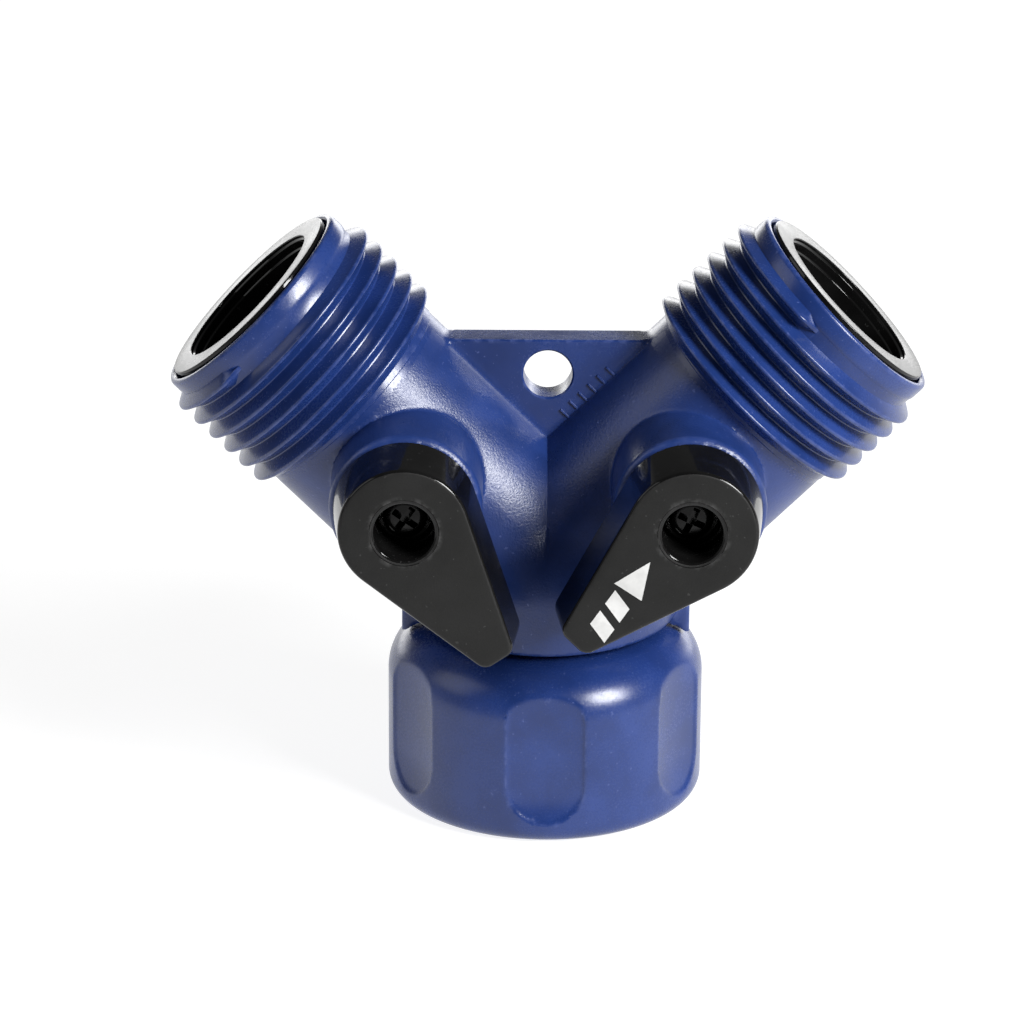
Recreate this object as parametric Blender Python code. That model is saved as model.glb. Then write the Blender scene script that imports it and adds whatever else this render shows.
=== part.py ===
"""Two-way hose splitter: a Y body with a ball valve in each arm and a swivel nut on its inlet.

The inlet axis is vertical. Each arm leans 45 degrees from it and carries a male hose thread.
Positions along an arm are measured from the apex, where the two arm axes cross the inlet axis.
A valve turns about an axis parallel to Y, through its arm's axis.
"""

import math

import bmesh
import bpy
from mathutils import Matrix

MM = 0.001
GAP = 0.3 * MM
TAU = 2 * math.pi

# Garden hose thread, 3/4 inch nominal, 11.5 threads per inch
PITCH = 25.4 * MM / 11.5
MALE_MAJOR = 13.495 * MM
MALE_MINOR = 12.05 * MM
FEMALE_MAJOR = 13.70 * MM
FEMALE_MINOR = 12.30 * MM
CREST_FLAT = PITCH / 8
FLANK = math.radians(30)
RIDGE_ROOT = 0.22 * MM
RIDGE_END_HEIGHT = 0.12
THREAD_ANGLE = math.radians(114.5)

# Arms
ARM_ANGLE = math.radians(45)
APEX_Z = 24.0 * MM
ARM_RADIUS = 11.95 * MM
ARM_START = -3.0 * MM
LIP_RADIUS = 12.2 * MM
LIP_FACE = 44.2 * MM
THREAD_FIRST = 30.2 * MM
THREAD_LAST = 42.3 * MM
CHAMBER_START = 13.0 * MM
CHAMBER_RADIUS = 9.8 * MM
WATERWAY_RADIUS = 5.5 * MM
SLEEVE_SEAT = 43.0 * MM
SLEEVE_SEAT_RADIUS = 11.4 * MM

# Neck, tail, web and side gussets of the body
NECK_RADIUS = 13.0 * MM
NECK_BOTTOM = 20.0 * MM
NECK_SHOULDER = 25.5 * MM
NECK_TOP = 32.0 * MM
ARM_TRIM = NECK_BOTTOM + 0.5 * MM
TAIL_RADIUS = 9.2 * MM
TAIL_BOTTOM = 12.9 * MM
TAIL_BORE = 7.0 * MM
GROOVE_RADIUS = 8.1 * MM
GROOVE_LOW = 14.5 * MM
GROOVE_HIGH = 16.1 * MM
WEB_THICKNESS = 3.6 * MM
WEB_TOP = 51.5 * MM
WEB_BOTTOM = 34.0 * MM
WEB_HALF_WIDTH = 15.0 * MM
HANG_HOLE_Z = 47.7 * MM
HANG_HOLE_RADIUS = 2.6 * MM
GUSSET_HALF_WIDTH = 15.5 * MM
GUSSET_BOTTOM = 17.0 * MM
GUSSET_TOP = 28.0 * MM
NUT_CLEARANCE = 0.5 * MM

# Swivel nut
NUT_RADIUS = 17.0 * MM
NUT_DOME = 5.5 * MM
NUT_TOP = 19.15 * MM
NUT_ROLL = 2.0 * MM
NUT_THREAD_FIRST = 1.6 * MM
NUT_THREAD_LAST = 8.6 * MM
NUT_THREAD_END = 9.4 * MM
NUT_CLIP_ROOM = 11.0 * MM
NUT_TOP_BORE = 9.7 * MM
NUT_MOUTH_RADIUS = 14.3 * MM
RECESS_COUNT = 6
RECESS_HALF_WIDTH = 4.15 * MM
RECESS_LOW = 2.4 * MM
RECESS_HIGH = 17.6 * MM
RECESS_FLOOR = 16.1 * MM

# Inlet washer and the split ring that holds the nut on the tail
WASHER_RADIUS = 12.05 * MM
WASHER_BORE = 7.9 * MM
WASHER_THICKNESS = 3.0 * MM
WASHER_TOP = TAIL_BOTTOM - GAP
CLIP_RADIUS = 10.6 * MM
CLIP_BORE = GROOVE_RADIUS + GAP
CLIP_LOW = GROOVE_LOW + GAP
CLIP_HIGH = GROOVE_HIGH - GAP
CLIP_SPLIT = 2.4 * MM

# Valves: distances from the pivot, outwards along the stem unless they say otherwise
PIVOT_ALONG_ARM = 20.75 * MM
PIVOT_X = PIVOT_ALONG_ARM * math.sin(ARM_ANGLE)
PIVOT_Z = APEX_Z + PIVOT_ALONG_ARM * math.cos(ARM_ANGLE)
BALL_RADIUS = 7.5 * MM
BALL_BORE = 5.0 * MM
BALL_SLOT_WIDTH = 3.1 * MM
BALL_SLOT_FLOOR = 5.7 * MM
SEAT_BORE = 5.3 * MM
SEAT_RADIUS = CHAMBER_RADIUS - GAP
SEAT_CONE_RADIUS = 6.2 * MM
SEAT_NEAR = 4.9 * MM
SEAT_CONE_END = 5.75 * MM
SEAT_FAR = 7.4 * MM
BOSS_RADIUS = 7.95 * MM
BOSS_FACE = 18.6 * MM
BOSS_ROLL = 0.8 * MM
POCKET_RADIUS = 4.8 * MM
POCKET_FLOOR = 11.6 * MM
STEM_BORE = 3.8 * MM
SPIGOT_BORE = 5.2 * MM
SPIGOT_FLOOR = 15.4 * MM
STEM_RADIUS = 3.4 * MM
STEM_FLANGE_RADIUS = 4.5 * MM
STEM_FLANGE_LOW = 8.9 * MM
STEM_FLANGE_HIGH = 10.3 * MM
STEM_TANG_WIDTH = 2.4 * MM
STEM_TANG_LENGTH = 7.6 * MM
STEM_TANG_END = 6.0 * MM
STEM_GROOVE_RADIUS = 2.1 * MM
STEM_GROOVE_LOW = 12.6 * MM
STEM_GROOVE_HIGH = 14.2 * MM
STEM_SHOULDER = 15.0 * MM
STEM_END = 18.0 * MM
STEM_SQUARE = 4.0 * MM
STEM_TAP_RADIUS = 1.35 * MM
STEM_TAP_FLOOR = 12.8 * MM
THRUST_WASHER_LOW = STEM_FLANGE_HIGH + GAP
THRUST_WASHER_HIGH = POCKET_FLOOR - GAP
O_RING_TUBE = 0.5 * MM
O_RING_CENTRE = 2.95 * MM

# Lever handles: a hub circle and two small circles at the tip, wrapped by a taut outline
HUB_RADIUS = 6.75 * MM
TIP_REACH = 15.85 * MM
TIP_SPREAD = 0.9 * MM
TIP_CORNER = 1.25 * MM
LEVER_FACE = 25.5 * MM
LEVER_BACK = BOSS_FACE + GAP
LEVER_EDGE = 0.3 * MM
LEVER_DRAFT = 0.75 * MM
HANDLE_HOLE = 3.1 * MM
HANDLE_HOLE_RIM = 3.4 * MM
HANDLE_FLOOR_HIGH = 19.6 * MM
HANDLE_FLOOR_LOW = 18.3 * MM
HANDLE_SQUARE = STEM_SQUARE + 2 * GAP
SPIGOT_RADIUS = SPIGOT_BORE - GAP
SPIGOT_END = SPIGOT_FLOOR + GAP
SCREW_CLEARANCE = 1.4 * MM
SCREW_RADIUS = 1.0 * MM
SCREW_HEAD_RADIUS = 2.3 * MM
SCREW_HEAD_LOW = HANDLE_FLOOR_HIGH + GAP
SCREW_HEAD_HIGH = 21.3 * MM
SCREW_TIP = 13.3 * MM
SCREW_HEAD_ROLL = 0.6 * MM
SCREW_CROSS_DEPTH = 0.8 * MM
SCREW_CROSS_WIDTH = 0.6 * MM
SCREW_CROSS_LENGTH = 2.6 * MM

# Outlet sleeves, pushed into the arms over the valve seats
SLEEVE_FLANGE_RADIUS = 11.1 * MM
SLEEVE_FACE = 44.9 * MM
SLEEVE_FLANGE_BACK = SLEEVE_SEAT + GAP
SLEEVE_RADIUS = CHAMBER_RADIUS - GAP
SLEEVE_END = PIVOT_ALONG_ARM + SEAT_FAR + GAP
SLEEVE_MOUTH = 8.2 * MM
SLEEVE_STEP = 7.3 * MM
SLEEVE_STEP_DEPTH = 4.6 * MM
SLEEVE_CONE_DEPTH = 8.2 * MM

# At rest the right lever is fully open and the left one is 10 degrees short of that
REST_FROM_DOWN = {"left": math.radians(35), "right": math.radians(45)}
SIDES = {"left": -1, "right": 1}

# The levers and the nut reach equally far from the origin, so the inlet axis stands back a little
INLET_Y = (LEVER_FACE - NUT_RADIUS) / 2

SEGMENTS = 24
SMALL_SEGMENTS = 18
NUT_SEGMENTS = 36
THREAD_SEGMENTS = 18
HEAD_SEGMENTS = 16
TAP_SEGMENTS = 12
O_RING_SIDES = 6
OUTLINE_POINTS = 32
SHARP = math.radians(35)


def clear_scene():
    for obj in list(bpy.data.objects):
        bpy.data.objects.remove(obj)


def plastic(name, colour, roughness, metallic=0.0):
    material = bpy.data.materials.new(name)
    material.use_nodes = True
    shader = material.node_tree.nodes["Principled BSDF"]
    shader.inputs["Base Color"].default_value = (*colour, 1.0)
    shader.inputs["Roughness"].default_value = roughness
    shader.inputs["Metallic"].default_value = metallic
    return material


def add_object(name, bm, material=None, parent=None, smooth=True):
    """Make an object from a bmesh; without a material it is a hidden cutter or an added shape."""
    bmesh.ops.recalc_face_normals(bm, faces=bm.faces)
    mesh = bpy.data.meshes.new(name)
    bm.to_mesh(mesh)
    bm.free()
    obj = bpy.data.objects.new(name, mesh)
    bpy.context.collection.objects.link(obj)
    obj.parent = parent
    if smooth:
        mesh.shade_smooth()
        mesh.set_sharp_from_angle(angle=SHARP)
    if material:
        mesh.materials.append(material)
    else:
        obj.hide_render = True
        obj.display_type = "WIRE"
    return obj


def place(obj, location=(0, 0, 0), rotation=(0, 0, 0)):
    obj.location = location
    obj.rotation_euler = rotation
    return obj


def combine(obj, other, operation, solver="EXACT"):
    modifier = obj.modifiers.new(f"{operation.lower()} {other.name}", "BOOLEAN")
    modifier.operation = operation
    modifier.solver = solver
    modifier.object = other


def arc(centre, radius, start, end, steps):
    """Points (radius, height) along a circular arc, both ends included; angles in degrees."""
    angles = [math.radians(start + (end - start) * i / steps) for i in range(steps + 1)]
    return [(centre[0] + radius * math.cos(a), centre[1] + radius * math.sin(a)) for a in angles]


def turned(profile, segments=SEGMENTS):
    """Spin a (radius, height) profile about Z. It closes on itself unless both ends lie on the axis."""
    bm = bmesh.new()
    verts = [bm.verts.new((radius, 0, height)) for radius, height in profile]
    edges = [bm.edges.new(pair) for pair in zip(verts, verts[1:])]
    if profile[0][0] > 0:
        edges.append(bm.edges.new((verts[-1], verts[0])))
    bmesh.ops.spin(
        bm, geom=verts + edges, axis=(0, 0, 1), cent=(0, 0, 0), angle=TAU, steps=segments, use_merge=True
    )
    bmesh.ops.remove_doubles(bm, verts=bm.verts, dist=1e-7)
    return bm


def rod(radius, low, high, segments=SMALL_SEGMENTS):
    return turned([(0, low), (radius, low), (radius, high), (0, high)], segments)


def box(low, high):
    bm = bmesh.new()
    bmesh.ops.create_cube(bm, size=1)
    for vert in bm.verts:
        for axis in range(3):
            vert.co[axis] = high[axis] if vert.co[axis] > 0 else low[axis]
    return bm


def loft(sections):
    """Join closed outlines that have the same number of points, and cap both ends."""
    bm = bmesh.new()
    rings = [[bm.verts.new(point) for point in section] for section in sections]
    for lower, upper in zip(rings, rings[1:]):
        for i in range(len(lower)):
            j = (i + 1) % len(lower)
            bm.faces.new((lower[i], lower[j], upper[j], upper[i]))
    bm.faces.new(rings[0])
    bm.faces.new(rings[-1])
    return bm


def thread_ridge(root, crest, first, last):
    """A right-hand helical ridge about Z that fades out over a quarter turn at each end."""
    steps = round((last - first) / PITCH * THREAD_SEGMENTS)
    fade = THREAD_SEGMENTS / 4
    outwards = 1 if crest > root else -1
    buried = root - outwards * RIDGE_ROOT
    half_crest = CREST_FLAT / 2
    sections = []
    for step in range(steps + 1):
        angle = THREAD_ANGLE + TAU * step / THREAD_SEGMENTS
        height = first + PITCH * step / THREAD_SEGMENTS
        full = min(1.0, RIDGE_END_HEIGHT + min(step, steps - step) / fade)
        top = root + (crest - root) * full
        half_root = half_crest + abs(top - buried) * math.tan(FLANK)
        corners = [(buried, -half_root), (top, -half_crest), (top, half_crest), (buried, half_root)]
        sections.append(
            [(r * math.cos(angle), r * math.sin(angle), height + dz) for r, dz in corners]
        )
    return loft(sections)


def along_stem(bm):
    """Turn a shape built about Z so that its +Z points outwards along a stem, which is -Y."""
    bmesh.ops.rotate(bm, verts=bm.verts, cent=(0, 0, 0), matrix=Matrix.Rotation(math.radians(90), 3, "X"))
    return bm


def build_body(material):
    """The Y body. Its shapes meet in many curved creases, which only the MANIFOLD solver leaves closed."""
    groove = [(TAIL_RADIUS, GROOVE_LOW), (GROOVE_RADIUS, GROOVE_LOW)]
    groove += [(GROOVE_RADIUS, GROOVE_HIGH), (TAIL_RADIUS, GROOVE_HIGH)]
    dome_radius = NECK_TOP - NECK_SHOULDER
    dome = arc((NECK_RADIUS - dome_radius, NECK_SHOULDER), dome_radius, 0, 90, 5)
    neck = [(0, TAIL_BOTTOM), (TAIL_RADIUS, TAIL_BOTTOM)] + groove
    neck += [(TAIL_RADIUS, NECK_BOTTOM), (NECK_RADIUS, NECK_BOTTOM)] + dome + [(0, NECK_TOP)]
    body = place(add_object("body", turned(neck), material), (0, INLET_Y, 0))

    arms = []
    for side, sign in SIDES.items():
        lean = (0, sign * ARM_ANGLE, 0)
        profile = [(0, ARM_START), (ARM_RADIUS, ARM_START), (ARM_RADIUS, THREAD_FIRST - PITCH)]
        profile += [(MALE_MINOR, THREAD_FIRST), (MALE_MINOR, THREAD_LAST)]
        profile += [(LIP_RADIUS, THREAD_LAST + CREST_FLAT), (LIP_RADIUS, LIP_FACE - 2 * GAP)]
        profile += [(LIP_RADIUS - 2 * GAP, LIP_FACE), (0, LIP_FACE)]
        arm = place(add_object(f"{side}_arm_shape", turned(profile)), (0, INLET_Y, APEX_Z), lean)
        ridge = thread_ridge(MALE_MINOR, MALE_MAJOR, THREAD_FIRST, THREAD_LAST)
        ridge = place(add_object(f"{side}_thread_shape", ridge), (0, INLET_Y, APEX_Z), lean)
        combine(arm, ridge, "UNION", "MANIFOLD")
        arms.append(arm)
    reach = ARM_RADIUS + MM
    trim = box((-reach * 2, -reach, -reach), (reach * 2, reach, ARM_TRIM))
    trim = place(add_object("arm_trim", trim, smooth=False), (0, INLET_Y, 0))
    for arm in arms:
        combine(arm, trim, "DIFFERENCE", "MANIFOLD")
        combine(body, arm, "UNION", "MANIFOLD")

    half = WEB_THICKNESS / 2
    web = box((-WEB_HALF_WIDTH, -half, WEB_BOTTOM), (WEB_HALF_WIDTH, half, WEB_TOP))
    web = place(add_object("web_shape", web, smooth=False), (0, INLET_Y, 0))
    gussets = box((-GUSSET_HALF_WIDTH, -half, GUSSET_BOTTOM), (GUSSET_HALF_WIDTH, half, GUSSET_TOP))
    gussets = place(add_object("gusset_shape", gussets, smooth=False), (0, INLET_Y, 0))
    over_nut = arc((NUT_RADIUS - NUT_DOME, NUT_TOP - NUT_DOME), NUT_DOME + NUT_CLEARANCE, 0, 90, 5)
    over_nut = [(0, TAIL_BOTTOM), (NUT_RADIUS + NUT_CLEARANCE, TAIL_BOTTOM)] + over_nut
    over_nut = add_object("over_nut", turned(over_nut + [(0, NUT_TOP + NUT_CLEARANCE)]))
    combine(gussets, place(over_nut, (0, INLET_Y, 0)), "DIFFERENCE", "MANIFOLD")
    for shape in (web, gussets):
        combine(body, shape, "UNION", "MANIFOLD")

    for side, sign in SIDES.items():
        pivot = (sign * PIVOT_X, INLET_Y, PIVOT_Z)
        roll = arc((BOSS_RADIUS - BOSS_ROLL, BOSS_FACE - BOSS_ROLL), BOSS_ROLL, 0, 90, 3)
        boss = [(0, BALL_RADIUS), (BOSS_RADIUS, BALL_RADIUS)] + roll + [(0, BOSS_FACE)]
        boss = place(add_object(f"{side}_boss_shape", along_stem(turned(boss))), pivot)
        combine(body, boss, "UNION", "MANIFOLD")

    for side, sign in SIDES.items():
        past = LIP_FACE + 3 * MM
        bore = [(0, -MM), (WATERWAY_RADIUS, -MM), (WATERWAY_RADIUS, CHAMBER_START)]
        bore += [(CHAMBER_RADIUS, CHAMBER_START), (CHAMBER_RADIUS, SLEEVE_SEAT)]
        bore += [(SLEEVE_SEAT_RADIUS, SLEEVE_SEAT), (SLEEVE_SEAT_RADIUS, past), (0, past)]
        bore = add_object(f"{side}_arm_bore", turned(bore))
        place(bore, (0, INLET_Y, APEX_Z), (0, sign * ARM_ANGLE, 0))
        combine(body, bore, "DIFFERENCE", "MANIFOLD")

        past = BOSS_FACE + 3 * MM
        bore = [(0, BALL_SLOT_FLOOR), (POCKET_RADIUS, BALL_SLOT_FLOOR), (POCKET_RADIUS, POCKET_FLOOR)]
        bore += [(STEM_BORE, POCKET_FLOOR), (STEM_BORE, SPIGOT_FLOOR)]
        bore += [(SPIGOT_BORE, SPIGOT_FLOOR), (SPIGOT_BORE, past), (0, past)]
        bore = add_object(f"{side}_stem_bore", along_stem(turned(bore, SMALL_SEGMENTS)))
        combine(body, place(bore, (sign * PIVOT_X, INLET_Y, PIVOT_Z)), "DIFFERENCE", "MANIFOLD")

    inlet = place(add_object("inlet_bore", rod(TAIL_BORE, TAIL_BOTTOM - MM, APEX_Z)), (0, INLET_Y, 0))
    combine(body, inlet, "DIFFERENCE", "MANIFOLD")
    hole = along_stem(rod(HANG_HOLE_RADIUS, -WEB_THICKNESS, WEB_THICKNESS))
    combine(body, place(add_object("hang_hole", hole), (0, INLET_Y, HANG_HOLE_Z)), "DIFFERENCE", "MANIFOLD")


def recess_cutter(angle):
    """A slot with round ends, standing upright and cutting into the nut from outside."""
    middle_low = RECESS_LOW + RECESS_HALF_WIDTH
    middle_high = RECESS_HIGH - RECESS_HALF_WIDTH
    outline = arc((0, middle_high), RECESS_HALF_WIDTH, 0, 180, 6)
    outline += arc((0, middle_low), RECESS_HALF_WIDTH, 180, 360, 6)
    depths = (RECESS_FLOOR, NUT_RADIUS + 2 * MM)
    bm = loft([[(x, -depth, z) for x, z in outline] for depth in depths])
    bmesh.ops.rotate(bm, verts=bm.verts, cent=(0, 0, 0), matrix=Matrix.Rotation(angle, 3, "Z"))
    return bm


def build_nut(material):
    profile = [(NUT_TOP_BORE, NUT_TOP), (NUT_TOP_BORE, GROOVE_HIGH), (NUT_CLIP_ROOM, GROOVE_HIGH)]
    profile += [(NUT_CLIP_ROOM, TAIL_BOTTOM), (WASHER_RADIUS + GAP, TAIL_BOTTOM)]
    profile += [(WASHER_RADIUS + GAP, NUT_THREAD_END), (FEMALE_MAJOR, NUT_THREAD_END - MM / 2)]
    profile += [(FEMALE_MAJOR, NUT_MOUTH_RADIUS - FEMALE_MAJOR), (NUT_MOUTH_RADIUS, 0)]
    profile += arc((NUT_RADIUS - NUT_ROLL, NUT_ROLL), NUT_ROLL, -90, 0, 3)
    profile += arc((NUT_RADIUS - NUT_DOME, NUT_TOP - NUT_DOME), NUT_DOME, 0, 90, 4)
    nut = place(add_object("swivel_nut", turned(profile, NUT_SEGMENTS), material), (0, INLET_Y, 0))
    ridge = thread_ridge(FEMALE_MAJOR, FEMALE_MINOR, NUT_THREAD_FIRST, NUT_THREAD_LAST)
    combine(nut, place(add_object("nut_thread_shape", ridge), (0, INLET_Y, 0)), "UNION")
    for i in range(RECESS_COUNT):
        cutter = add_object(f"grip_recess_{i}", recess_cutter(TAU * i / RECESS_COUNT), smooth=False)
        combine(nut, place(cutter, (0, INLET_Y, 0)), "DIFFERENCE")


def build_inlet_seals(rubber, steel):
    low = WASHER_TOP - WASHER_THICKNESS
    profile = [(WASHER_BORE, low), (WASHER_RADIUS, low), (WASHER_RADIUS, WASHER_TOP)]
    profile += [(WASHER_BORE, WASHER_TOP)]
    place(add_object("inlet_washer", turned(profile), rubber), (0, INLET_Y, 0))

    profile = [(CLIP_BORE, CLIP_LOW), (CLIP_RADIUS, CLIP_LOW)]
    profile += [(CLIP_RADIUS, CLIP_HIGH), (CLIP_BORE, CLIP_HIGH)]
    clip = place(add_object("retaining_clip", turned(profile), steel), (0, INLET_Y, 0))
    half = CLIP_SPLIT / 2
    split = box((-half, 0, CLIP_LOW - MM), (half, CLIP_RADIUS + MM, CLIP_HIGH + MM))
    combine(clip, place(add_object("clip_split", split, smooth=False), (0, INLET_Y, 0)), "DIFFERENCE")


def build_arm_pieces(side, black, seat_white):
    """The outlet sleeve and both valve seats, which stay still in their arm."""
    sign = SIDES[side]
    where = ((0, INLET_Y, APEX_Z), (0, sign * ARM_ANGLE, 0))
    profile = [(SLEEVE_MOUTH, SLEEVE_FACE), (SLEEVE_MOUTH, SLEEVE_FACE - SLEEVE_STEP_DEPTH)]
    profile += [(SLEEVE_STEP, SLEEVE_FACE - SLEEVE_STEP_DEPTH)]
    profile += [(SLEEVE_STEP, SLEEVE_FACE - SLEEVE_CONE_DEPTH)]
    profile += [(WATERWAY_RADIUS, SLEEVE_END + 2 * MM), (WATERWAY_RADIUS, SLEEVE_END)]
    profile += [(SLEEVE_RADIUS, SLEEVE_END), (SLEEVE_RADIUS, SLEEVE_FLANGE_BACK)]
    profile += [(SLEEVE_FLANGE_RADIUS, SLEEVE_FLANGE_BACK), (SLEEVE_FLANGE_RADIUS, SLEEVE_FACE)]
    place(add_object(f"{side}_outlet_sleeve", turned(profile), black), *where)
    for name, direction in (("outer_seat", 1), ("inner_seat", -1)):
        rings = [(SEAT_BORE, SEAT_CONE_END), (SEAT_CONE_RADIUS, SEAT_NEAR), (SEAT_RADIUS, SEAT_NEAR)]
        rings += [(SEAT_RADIUS, SEAT_FAR), (SEAT_BORE, SEAT_FAR)]
        profile = [(radius, PIVOT_ALONG_ARM + direction * depth) for radius, depth in rings]
        place(add_object(f"{side}_{name}", turned(profile), seat_white), *where)


def lever_outline(grow, depth):
    """The taut outline round the hub and tip circles, each grown by the same amount."""
    circles = [(0, 0, HUB_RADIUS)]
    circles += [(side * TIP_SPREAD, -TIP_REACH, TIP_CORNER) for side in (-1, 1)]
    points = []
    for i in range(OUTLINE_POINTS):
        angle = TAU * (i + 0.5) / OUTLINE_POINTS
        nx, nz = math.cos(angle), math.sin(angle)
        x, z, radius = max(circles, key=lambda c: c[0] * nx + c[1] * nz + c[2])
        points.append((x + (radius + grow) * nx, -depth, z + (radius + grow) * nz))
    return points


def build_ball(side, pivot, material):
    edge = math.degrees(math.acos(BALL_BORE / BALL_RADIUS))
    profile = arc((0, 0), BALL_RADIUS, -edge, edge, 9)
    ball = add_object(f"{side}_valve_ball", turned(profile), material, pivot)
    half = BALL_SLOT_WIDTH / 2
    slot = box((-BALL_RADIUS, -BALL_RADIUS - MM, -half), (BALL_RADIUS, -BALL_SLOT_FLOOR, half))
    combine(ball, add_object(f"{side}_ball_slot", slot, None, pivot, smooth=False), "DIFFERENCE")


def build_stem(side, pivot, plastic_black, rubber, washer_white):
    profile = [(0, STEM_FLANGE_LOW), (STEM_FLANGE_RADIUS, STEM_FLANGE_LOW)]
    profile += [(STEM_FLANGE_RADIUS, STEM_FLANGE_HIGH), (STEM_RADIUS, STEM_FLANGE_HIGH)]
    profile += [(STEM_RADIUS, STEM_GROOVE_LOW), (STEM_GROOVE_RADIUS, STEM_GROOVE_LOW)]
    profile += [(STEM_GROOVE_RADIUS, STEM_GROOVE_HIGH), (STEM_RADIUS, STEM_GROOVE_HIGH)]
    profile += [(STEM_RADIUS, STEM_SHOULDER), (0, STEM_SHOULDER)]
    shape = along_stem(turned(profile, SMALL_SEGMENTS))
    stem = add_object(f"{side}_stem", shape, plastic_black, pivot)
    across, half = STEM_TANG_LENGTH / 2, STEM_TANG_WIDTH / 2
    tang = box((-across, -STEM_FLANGE_LOW - MM / 2, -half), (across, -STEM_TANG_END, half))
    half = STEM_SQUARE / 2
    square = box((-half, -STEM_END, -half), (half, -STEM_SHOULDER + MM / 2, half))
    for name, shape in (("tang_shape", tang), ("square_shape", square)):
        combine(stem, add_object(f"{side}_{name}", shape, None, pivot, smooth=False), "UNION")
    tap = along_stem(rod(STEM_TAP_RADIUS, STEM_TAP_FLOOR, STEM_END + MM, TAP_SEGMENTS))
    combine(stem, add_object(f"{side}_screw_tap", tap, None, pivot), "DIFFERENCE")

    middle = (STEM_GROOVE_LOW + STEM_GROOVE_HIGH) / 2
    last_corner = 360 - 360 / O_RING_SIDES
    ring = arc((O_RING_CENTRE, middle), O_RING_TUBE, 0, last_corner, O_RING_SIDES - 1)
    ring = turned(ring, SMALL_SEGMENTS)
    add_object(f"{side}_stem_o_ring", along_stem(ring), rubber, pivot)
    inner = STEM_RADIUS + GAP / 2
    profile = [(inner, THRUST_WASHER_LOW), (STEM_FLANGE_RADIUS, THRUST_WASHER_LOW)]
    profile += [(STEM_FLANGE_RADIUS, THRUST_WASHER_HIGH), (inner, THRUST_WASHER_HIGH)]
    washer = along_stem(turned(profile, SMALL_SEGMENTS))
    add_object(f"{side}_thrust_washer", washer, washer_white, pivot)


def build_lever(side, pivot, material):
    sections = [(LEVER_DRAFT, LEVER_BACK), (LEVER_EDGE, LEVER_FACE - LEVER_EDGE), (0, LEVER_FACE)]
    shape = loft([lever_outline(grow, depth) for grow, depth in sections])
    lever = add_object(f"{side}_lever", shape, material, pivot)
    spigot = along_stem(rod(SPIGOT_RADIUS, SPIGOT_END, LEVER_BACK + MM))
    combine(lever, add_object(f"{side}_spigot_shape", spigot, None, pivot), "UNION")
    hole = [(0, HANDLE_FLOOR_HIGH), (HANDLE_HOLE, HANDLE_FLOOR_HIGH)]
    hole += [(HANDLE_HOLE, LEVER_FACE + HANDLE_HOLE - HANDLE_HOLE_RIM)]
    hole += [(HANDLE_HOLE_RIM + MM, LEVER_FACE + MM), (0, LEVER_FACE + MM)]
    half = HANDLE_SQUARE / 2
    socket = box((-half, -HANDLE_FLOOR_LOW, -half), (half, -SPIGOT_END + MM, half))
    screw_way = rod(SCREW_CLEARANCE, HANDLE_FLOOR_LOW - MM, HANDLE_FLOOR_HIGH + MM, TAP_SEGMENTS)
    for name, cutter in (
        ("handle_hole", along_stem(turned(hole, SMALL_SEGMENTS))),
        ("square_socket", socket),
        ("screw_way", along_stem(screw_way)),
    ):
        combine(lever, add_object(f"{side}_{name}", cutter, None, pivot), "DIFFERENCE")


def build_screw(side, pivot, material):
    roll = SCREW_HEAD_ROLL
    crown = arc((SCREW_HEAD_RADIUS - roll, SCREW_HEAD_HIGH - roll), roll, 0, 90, 3)
    profile = [(0, SCREW_TIP), (SCREW_RADIUS, SCREW_TIP + SCREW_RADIUS / 2)]
    profile += [(SCREW_RADIUS, SCREW_HEAD_LOW), (SCREW_HEAD_RADIUS, SCREW_HEAD_LOW)]
    profile += crown + [(0, SCREW_HEAD_HIGH)]
    shape = along_stem(turned(profile, HEAD_SEGMENTS))
    screw = add_object(f"{side}_handle_screw", shape, material, pivot)
    across, half = SCREW_CROSS_LENGTH / 2, SCREW_CROSS_WIDTH / 2
    floor = -SCREW_HEAD_HIGH + SCREW_CROSS_DEPTH
    for name, (x, z) in (("wide", (across, half)), ("tall", (half, across))):
        slot = box((-x, -SCREW_HEAD_HIGH - MM, -z), (x, floor, z))
        cutter = add_object(f"{side}_cross_slot_{name}", slot, None, pivot, smooth=False)
        combine(screw, cutter, "DIFFERENCE")


def valve_pivot(side):
    """An empty on the valve's axis, turned so that a lever built straight down lies at rest."""
    sign = SIDES[side]
    pivot = bpy.data.objects.new(f"{side}_valve_pivot", None)
    bpy.context.collection.objects.link(pivot)
    rotation = (0, sign * REST_FROM_DOWN[side], 0)
    return place(pivot, (sign * PIVOT_X, INLET_Y, PIVOT_Z), rotation)


def main():
    clear_scene()
    blue = plastic("blue plastic", (0.030, 0.058, 0.250), 0.32)
    black_satin = plastic("black satin plastic", (0.030, 0.030, 0.032), 0.45)
    black_gloss = plastic("black gloss plastic", (0.010, 0.010, 0.011), 0.25)
    white = plastic("white seat plastic", (0.80, 0.79, 0.75), 0.40)
    rubber = plastic("black rubber", (0.015, 0.015, 0.015), 0.75)
    steel = plastic("stainless steel", (0.62, 0.62, 0.60), 0.30, 1.0)
    chrome = plastic("plated ball", (0.80, 0.80, 0.80), 0.12, 1.0)
    build_body(blue)
    build_nut(blue)
    build_inlet_seals(rubber, steel)
    for side in SIDES:
        build_arm_pieces(side, black_gloss, white)
        pivot = valve_pivot(side)
        build_ball(side, pivot, chrome)
        build_stem(side, pivot, black_gloss, rubber, white)
        build_lever(side, pivot, black_satin)
        build_screw(side, pivot, steel)


main()
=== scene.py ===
"""Looks for the two-way hose splitter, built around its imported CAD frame.

Shapes are worked out in millimetres about the inlet axis, with Z up from the nut's mouth, and turned
into metres when a mesh is made. Positions along an arm start at the apex, where the arm axes cross.
"""

import math
from itertools import product

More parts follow.
